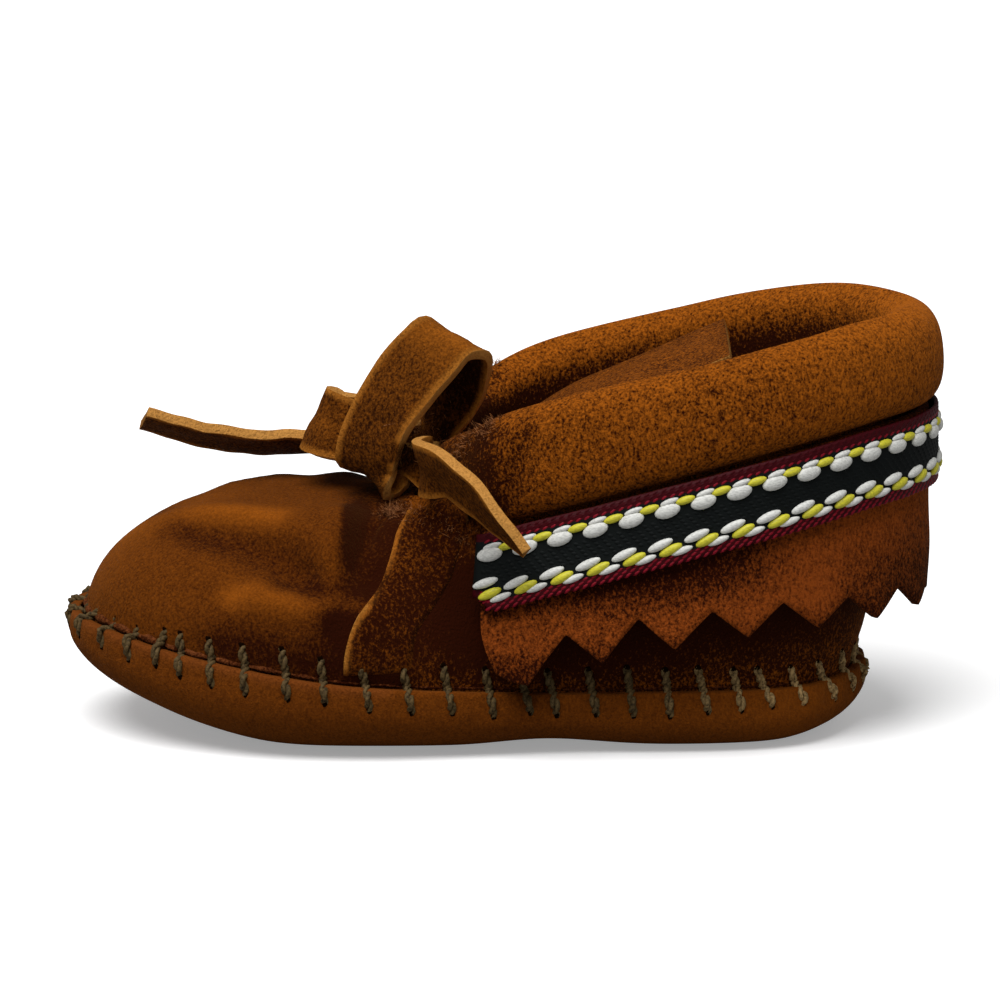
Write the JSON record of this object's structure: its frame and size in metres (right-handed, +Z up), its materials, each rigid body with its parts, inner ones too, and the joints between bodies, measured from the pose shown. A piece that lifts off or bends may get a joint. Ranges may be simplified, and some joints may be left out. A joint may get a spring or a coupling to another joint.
{
  "type": "baby moccasin",
  "caption": "Soft suede infant moccasin with a whip-stitched sole, a folded collar casing, a pinked cuff flap with woven braid, and a lace tied in a bow.",
  "frame": {"origin": "on the floor under the middle of the shoe's box, the free lace not counted", "axes": "+X from toe to heel, +Z up, -Y on the side that the picture shows"},
  "size_m": [0.132, 0.0687, 0.0644],
  "materials": {
    "suede": "matt golden-brown suede",
    "sole_suede": "matt red-brown suede",
    "lining": "matt split leather",
    "braid": "woven braid, black with white, yellow and crimson picks",
    "lace_suede": "matt suede strip with pale cut edges"
  },
  "bodies": {
    "root": {"sole": "sole_suede", "insole": "lining", "upper": "suede", "tongue": "suede", "cuff_flap": "suede", "braid_trim": "braid", "lace_in_casing": "lace_suede", "lace_knot": "lace_suede", "lace_loop_near": "lace_suede", "lace_loop_far": "lace_suede", "lace_end_near": "lace_suede", "lace_end_far": "lace_suede"}
  },
  "joints": []
}
